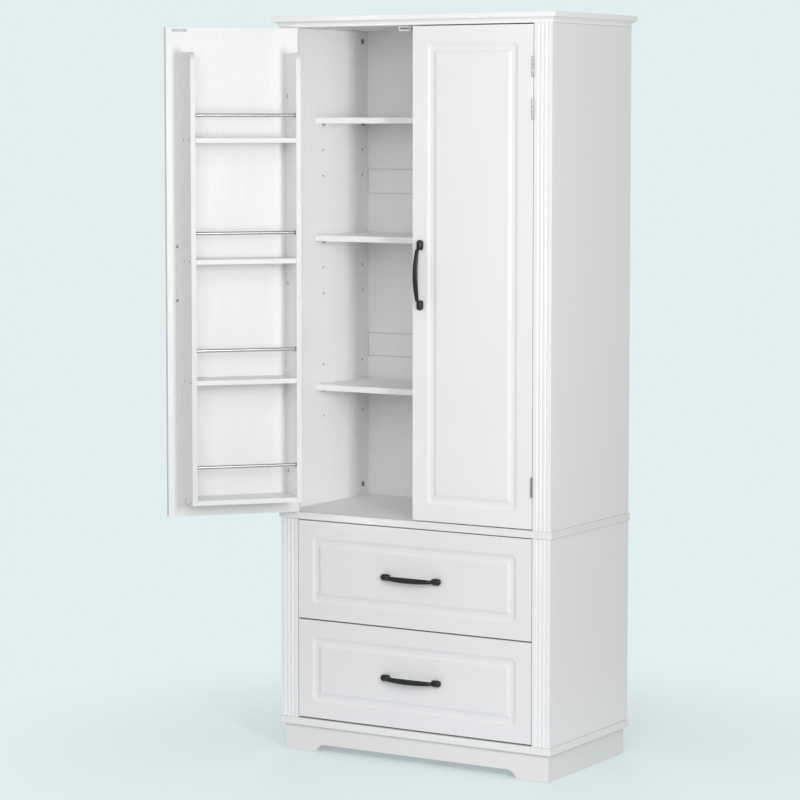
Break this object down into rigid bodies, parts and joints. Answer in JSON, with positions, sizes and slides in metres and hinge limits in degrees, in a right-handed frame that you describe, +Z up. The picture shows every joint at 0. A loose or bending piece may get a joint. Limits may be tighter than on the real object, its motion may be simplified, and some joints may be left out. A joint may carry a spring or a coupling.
{
  "type": "pantry cabinet",
  "caption": "Tall white pantry cabinet: two panelled doors with racks inside, shelves, drawers below, fluted pilasters, cornice, bracket-foot plinth and black bow handles.",
  "frame": {"origin": "on the floor, on the underside of the plinth's centre rail, under the middle of the cabinet body", "axes": "+Z up; -Y out of the doors and drawers; +Y into the wall behind; +X to the right of a person who faces the doors. Joint value 0 is the right door and the drawers closed and the left door standing 131.55 degrees open"},
  "size_m": [0.9644, 0.7157, 1.84],
  "materials": {
    "white_board": "satin white laminate on board",
    "white_back": "white paper-faced hardboard",
    "black_metal": "satin black coating on cast metal",
    "steel": "zinc-plated steel",
    "catch_plastic": "light grey moulded plastic"
  },
  "bodies": {
    "cabinet": {"top_board": "white_board", "upper_side_left": "white_board", "upper_side_right": "white_board", "upper_pilaster_left": "white_board", "upper_pilaster_right": "white_board", "middle_board": "white_board", "back_rail_low": "white_board", "back_rail_high": "white_board", "shelf_1": "white_board", "shelf_2": "white_board", "shelf_3": "white_board", "lower_side_left": "white_board", "lower_side_right": "white_board", "lower_pilaster_left": "white_board", "lower_pilaster_right": "white_board", "base_board": "white_board", "plinth_front": "white_board", "plinth_left": "white_board", "plinth_right": "white_board", "plinth_centre_rail": "white_board", "upper_back_panel_low": "white_back", "upper_back_panel_middle": "white_back", "upper_back_panel_high": "white_back", "lower_back_panel": "white_back", "left_hinge_1": "steel", "left_hinge_2": "steel", "left_hinge_3": "steel", "right_hinge_1": "steel", "right_hinge_2": "steel", "right_hinge_3": "steel", "drawer_1_runner_left": "steel", "drawer_1_runner_right": "steel", "drawer_2_runner_left": "steel", "drawer_2_runner_right": "steel", "magnetic_catch_left": "catch_plastic", "magnetic_catch_right": "catch_plastic"},
    "left_door": {"left_door": "white_board", "left_door_handle": "black_metal", "left_rack_hinge_side": "white_board", "left_rack_free_side": "white_board", "left_rack_shelf_1": "white_board", "left_rack_shelf_2": "white_board", "left_rack_shelf_3": "white_board", "left_rack_shelf_4": "white_board"},
    "right_door": {"right_door": "white_board", "right_door_handle": "black_metal", "right_rack_hinge_side": "white_board", "right_rack_free_side": "white_board", "right_rack_shelf_1": "white_board", "right_rack_shelf_2": "white_board", "right_rack_shelf_3": "white_board", "right_rack_shelf_4": "white_board"},
    "drawer_1": {"drawer_1_front": "white_board", "drawer_1_box": "white_board", "drawer_1_bottom": "white_back", "drawer_1_handle": "black_metal"},
    "drawer_2": {"drawer_2_front": "white_board", "drawer_2_box": "white_board", "drawer_2_bottom": "white_back", "drawer_2_handle": "black_metal"}
  },
  "joints": [
    {"name": "left_door_hinge", "type": "hinge", "parent": "cabinet", "child": "left_door", "pos_m": [-0.3346, -0.2065, 0], "axis": [0, 0, -1], "range_deg": [-131.55, 33.45]},
    {"name": "right_door_hinge", "type": "hinge", "parent": "cabinet", "child": "right_door", "pos_m": [0.3346, -0.2065, 0], "axis": [0, 0, 1], "range_deg": [0, 165]},
    {"name": "drawer_1_slide", "type": "slide", "parent": "cabinet", "child": "drawer_1", "axis": [0, -1, 0], "range_m": [0, 0.28]},
    {"name": "drawer_2_slide", "type": "slide", "parent": "cabinet", "child": "drawer_2", "axis": [0, -1, 0], "range_m": [0, 0.28]}
  ]
}
